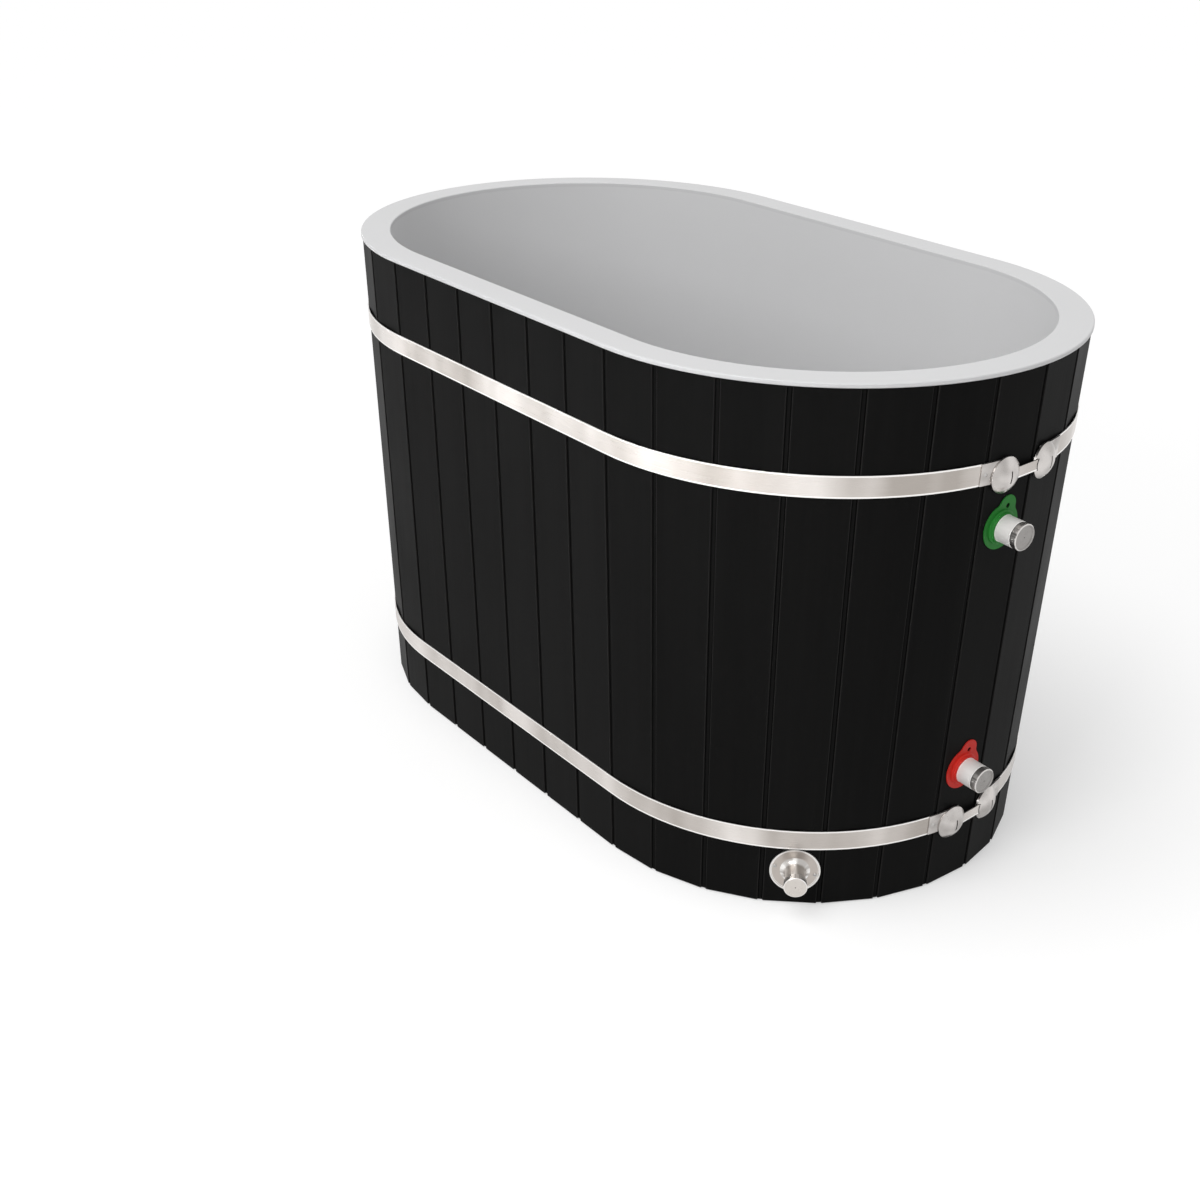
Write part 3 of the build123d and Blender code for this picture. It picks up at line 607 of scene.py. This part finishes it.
def thread(name, frameOfPiece, size, body, finish):
    deselect()
    bpy.ops.mesh.primitive_circle_add(vertices=4, radius=threads["pitch"] * threads["halfWidth"],
                                      fill_type="NOTHING", rotation=(math.pi / 2, 0, 0),
                                      location=(size["radius"], 0, 0))
    ridge = bpy.context.object
    ridge.name = name
    bpy.ops.object.transform_apply(location=True, rotation=True, scale=True)
    for corner in ridge.data.vertices:   # squash the diamond to a low ridge rooted in the metal
        inOrOut = corner.co.x - size["radius"]
        if abs(inOrOut) > threads["pitch"] * threads["tip"]:
            corner.co.x = size["radius"] + (threads["rise"] if inOrOut > 0 else -threads["root"])
    wind = ridge.modifiers.new("wind", "SCREW")
    wind.axis = "Z"
    wind.angle = 2 * math.pi
    wind.screw_offset = threads["pitch"]
    wind.iterations = size["turns"]
    wind.steps = wind.render_steps = threads["steps"]
    bpy.ops.object.modifier_apply(modifier=wind.name)
    bpy.ops.object.mode_set(mode="EDIT")
    bpy.ops.mesh.select_all(action="SELECT")
    bpy.ops.mesh.fill_holes(sides=0)
    bpy.ops.mesh.normals_make_consistent(inside=False)
    bpy.ops.object.mode_set(mode="OBJECT")
    settle(ridge, frameOfPiece @ Matrix.Translation((0, 0, size["start"])))
    cover(ridge, finish)
    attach(ridge, body)


thread("upperPlugThread", upperFrame, threads["plug"], "upper_plug", pipeFinish)
thread("lowerPlugThread", lowerFrame, threads["plug"], "lower_plug", pipeFinish)
thread("drainOutletThread", drainFrame, threads["outlet"], "tub", fittingFinish)


print("drain screws")
drainScrews = {
    "circle": 0.037,             # from the drain's axis to a screw's
    "angles": (168.0, -12.0), "slotTurns": (64.0, 18.0),
    "face": 0.004,               # the flange's front, out from the board
    "headRadius": 0.0036, "headHeight": 0.0016, "headEdge": 0.0007, "headCorners": 40, "edgeSteps": 3,
    "shankRadius": 0.002, "shankLength": 0.014,
    "slotWidth": 0.0011, "slotDepth": 0.0008,
    "smoothAngle": 35.0,
}


def selectFace(mesh, downwards):   # the lowest or the highest face
    bpy.ops.object.mode_set(mode="EDIT")
    bpy.ops.mesh.select_mode(type="FACE")
    bpy.ops.mesh.select_all(action="DESELECT")
    bpy.ops.object.mode_set(mode="OBJECT")
    picked = max(mesh.polygons, key=lambda face: face.center.z * (-1 if downwards else 1))
    picked.select = True
    bpy.ops.object.mode_set(mode="EDIT")


def slottedScrew(angle, slotTurn):
    deselect()
    headRadius, headHeight = drainScrews["headRadius"], drainScrews["headHeight"]
    top = drainScrews["face"] + headHeight
    bpy.ops.mesh.primitive_cylinder_add(vertices=drainScrews["headCorners"], radius=headRadius,
                                        depth=headHeight, location=(0, 0, top - headHeight / 2))
    screw = bpy.context.object
    bpy.ops.object.transform_apply(location=True, rotation=True, scale=True)
    selectFace(screw.data, downwards=False)
    bpy.ops.mesh.bevel(offset=drainScrews["headEdge"], segments=drainScrews["edgeSteps"], affect="EDGES")
    selectFace(screw.data, downwards=True)
    bpy.ops.mesh.inset(thickness=headRadius - drainScrews["shankRadius"])
    bpy.ops.mesh.extrude_region_move(TRANSFORM_OT_translate={"value": (0, 0, -drainScrews["shankLength"])})
    bpy.ops.object.mode_set(mode="OBJECT")
    deselect()
    bpy.ops.mesh.primitive_cube_add(size=1, location=(0, 0, top))
    cutter = bpy.context.object  # half above the head, and past it at both ends
    cutter.scale = (4 * headRadius, drainScrews["slotWidth"], 2 * drainScrews["slotDepth"])
    deselect()
    screw.select_set(True)
    bpy.context.view_layer.objects.active = screw
    slot = screw.modifiers.new("slot", "BOOLEAN")
    slot.operation = "DIFFERENCE"
    slot.solver = "EXACT"
    slot.object = cutter
    bpy.ops.object.modifier_apply(modifier=slot.name)
    bpy.data.objects.remove(cutter)
    turn, ownTurn = (Matrix.Rotation(math.radians(degrees), 4, "Z") for degrees in (angle, slotTurn))
    settle(screw, drainFrame @ turn @ Matrix.Translation((drainScrews["circle"], 0, 0)) @ ownTurn)
    return screw


screws = [slottedScrew(*turns) for turns in zip(drainScrews["angles"], drainScrews["slotTurns"])]
deselect()
for screw in screws:
    screw.select_set(True)
bpy.context.view_layer.objects.active = screws[0]
bpy.ops.object.join()
slottedScrews = bpy.context.object
slottedScrews.name = "slottedDrainScrews"
bpy.ops.object.shade_smooth_by_angle(angle=math.radians(drainScrews["smoothAngle"]))
cover(slottedScrews, screwFinish)
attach(slottedScrews, "tub")
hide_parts("drain_screws")

print("floor, lamps and camera")
studio = {
    "floorSize": 60,
    "floorDrop": 0.0004,         # just under the bearers, so that no faces share a plane
    "floorColour": 0.68,
    "floorLift": 0.36,           # brightens the floor as seen, straight or mirrored
    "worldLevel": 0.6,           # the world's light on the tub; seen directly it is white
    "sunStrength": 1.15,
    "sunHeight": 69.0,           # degrees above the floor
    "sunSide": 248.0,            # degrees round from +X to where the light comes from
    "sunSoftness": 45.0,
    "sunDistance": 4.0,          # only where its symbol stands
    "pool": dict(place=(-0.3, -2.7, 5.5), aim=(-0.3, -2.7, 0), size=(4.8, 1.5), power=55.0, spread=14.0),
    "fill": dict(place=(1.3, -3.4, 2.5), aim=(0.6, 0, 0.5), size=(1.6, 1.6), power=50.0, spread=180.0),
}


deselect()
bpy.ops.mesh.primitive_plane_add(size=studio["floorSize"], location=(0, 0, -studio["floorDrop"]))
floor = bpy.context.object
floor.name = "floor"


def seenDirectly(s):   # 1 for what the camera sees, straight or in metal
    total = s.node("LightPath", output="Is Camera Ray")
    for ray in ("Is Glossy Ray", "Is Transmission Ray"):
        total = total + s.node("LightPath", output=ray)
    return total


floorFinish = bpy.data.materials.new("paleFloor")
floorFinish.use_nodes = True
floorFinish.node_tree.nodes.clear()
paper = Shade(floorFinish.node_tree)
plain = paper.node("BsdfDiffuse", None, {"Color": (studio["floorColour"],) * 3})
glow = seenDirectly(paper) * studio["floorLift"]
lift = paper.node("Emission", None, {"Color": (1, 1, 1), "Strength": glow})
paper.node("OutputMaterial", None, {"Surface": paper.node("AddShader", None, {0: plain, 1: lift})})
floor.data.materials.append(floorFinish)

world = bpy.data.worlds.new("studio")
bpy.context.scene.world = world
world.use_nodes = True
world.node_tree.nodes.clear()
sky = Shade(world.node_tree)
level = seenDirectly(sky) * (1 - studio["worldLevel"]) + studio["worldLevel"]
background = sky.node("Background", None, {"Color": (1, 1, 1), "Strength": level})
sky.node("OutputWorld", None, {"Surface": background})


def holderFor(name, data):
    holder = bpy.data.objects.new(name, data)
    bpy.context.scene.collection.objects.link(holder)
    return holder


sun = bpy.data.lights.new("keyLight", "SUN")
sun.energy = studio["sunStrength"]
sun.angle = math.radians(studio["sunSoftness"])
sunHolder = holderFor("keyLight", sun)
side, rise = math.radians(studio["sunSide"]), math.radians(studio["sunHeight"])
towardsSun = Vector((math.cos(side) * math.cos(rise), math.sin(side) * math.cos(rise), math.sin(rise)))
sunHolder.location = towardsSun * studio["sunDistance"]
sunHolder.rotation_euler = towardsSun.to_track_quat("Z", "Y").to_euler()


def softbox(name, place, aim, size, power, spread):
    lamp = bpy.data.lights.new(name, "AREA")
    lamp.shape = "RECTANGLE"
    lamp.size, lamp.size_y = size
    lamp.energy = power
    lamp.spread = math.radians(spread)
    holder = holderFor(name, lamp)
    holder.location = place
    holder.rotation_euler = (Vector(aim) - Vector(place)).to_track_quat("-Z", "Y").to_euler()


softbox("floorLight", **studio["pool"])   # lights only the floor, on the near side
softbox("fillLight", **studio["fill"])

photoCamera = {
    "place": (2.42011, -2.04988, 1.80483),
    "right": (0.59805, 0.80141, 0.00919),
    "up": (-0.35598, 0.25534, 0.89893),
    "forward": (-0.71806, 0.54088, -0.43799),
    "focalPixels": 1652.2,
    "longSidePixels": 1201,
    "sensor": 36.0,
    "clip": (0.05, 120),
}
camera = bpy.data.cameras.new("photoView")
camera.sensor_width = photoCamera["sensor"]
camera.lens = photoCamera["focalPixels"] / photoCamera["longSidePixels"] * photoCamera["sensor"]
camera.clip_start, camera.clip_end = photoCamera["clip"]
cameraHolder = holderFor("photoView", camera)
backward = times(photoCamera["forward"], -1)
looking = Matrix((photoCamera["right"], photoCamera["up"], backward)).transposed().to_4x4()
cameraHolder.matrix_world = Matrix.Translation(photoCamera["place"]) @ looking
bpy.context.scene.camera = cameraHolder
bpy.context.scene.view_settings.view_transform = "Standard"
